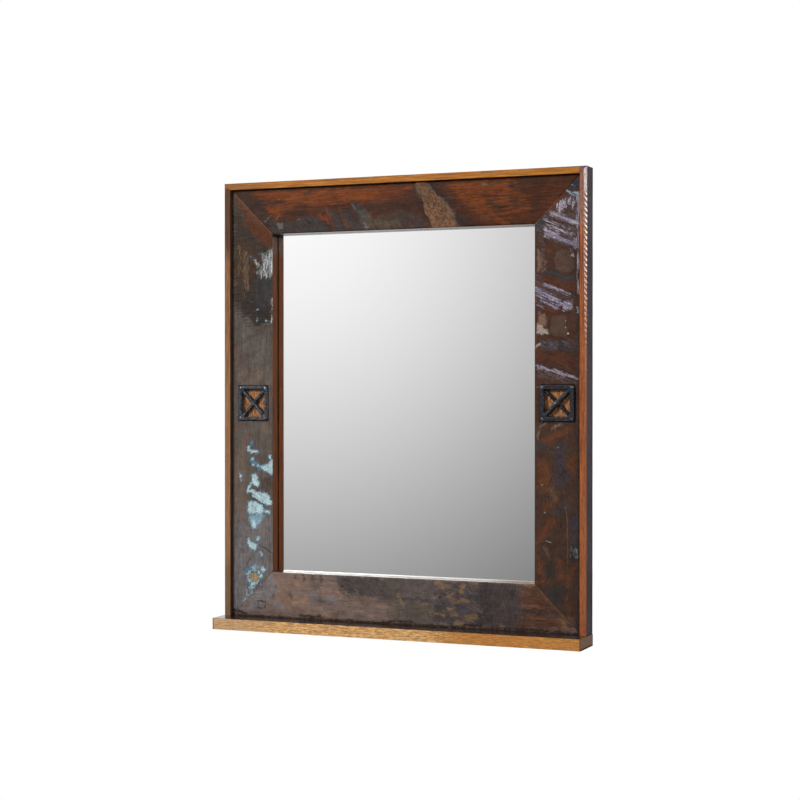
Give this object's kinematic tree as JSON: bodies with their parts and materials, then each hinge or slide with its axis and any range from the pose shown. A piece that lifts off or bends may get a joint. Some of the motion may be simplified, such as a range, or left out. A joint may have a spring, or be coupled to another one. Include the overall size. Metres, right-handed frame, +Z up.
{
  "type": "wall mirror with shelf",
  "caption": "Rectangular wall mirror in a deep mitred frame of reclaimed boards with two iron grilles, a narrow shelf along the bottom and keyhole hangers in the back.",
  "frame": {"origin": "in the wall plane, halfway between the entry holes of the two keyhole hangers", "axes": "+X to the right as seen from the front, +Y towards the wall, +Z up; the front faces -Y"},
  "size_m": [0.68, 0.075, 0.79],
  "materials": {
    "shelf_wood": "varnished, fresh-sawn golden front edge, dark stained top",
    "case_wood": "varnished, golden to red-brown front edges, dark worn paint on the outer faces",
    "reclaimed_wood": "old sawn boards with worn paint remains under clear varnish",
    "spline_wood": "bare",
    "cast_iron": "blackened, waxed",
    "mirror": "silvered float glass",
    "spacer_wood": "bare",
    "plywood": "bare plywood",
    "zinc_steel": "zinc plated",
    "bright_steel": "dulled wire nails"
  },
  "bodies": {
    "root": {"shelf_board": "shelf_wood", "case_board_top": "case_wood", "case_board_left": "case_wood", "case_board_right": "case_wood", "face_board_top": "reclaimed_wood", "face_board_bottom": "reclaimed_wood", "face_board_left": "reclaimed_wood", "face_board_right": "reclaimed_wood", "mitre_splines": "spline_wood", "iron_grille_left": "cast_iron", "iron_grille_right": "cast_iron", "grille_nails": "cast_iron", "mirror_glass": "mirror", "glass_shims": "spline_wood", "spacer_top": "spacer_wood", "spacer_bottom": "spacer_wood", "spacer_left": "spacer_wood", "spacer_right": "spacer_wood", "back_panel": "plywood", "back_panel_screws": "zinc_steel", "hanger_plate_left": "zinc_steel", "hanger_plate_right": "zinc_steel", "hanger_screws": "zinc_steel", "shelf_screws": "zinc_steel", "case_nails": "bright_steel"}
  },
  "joints": []
}
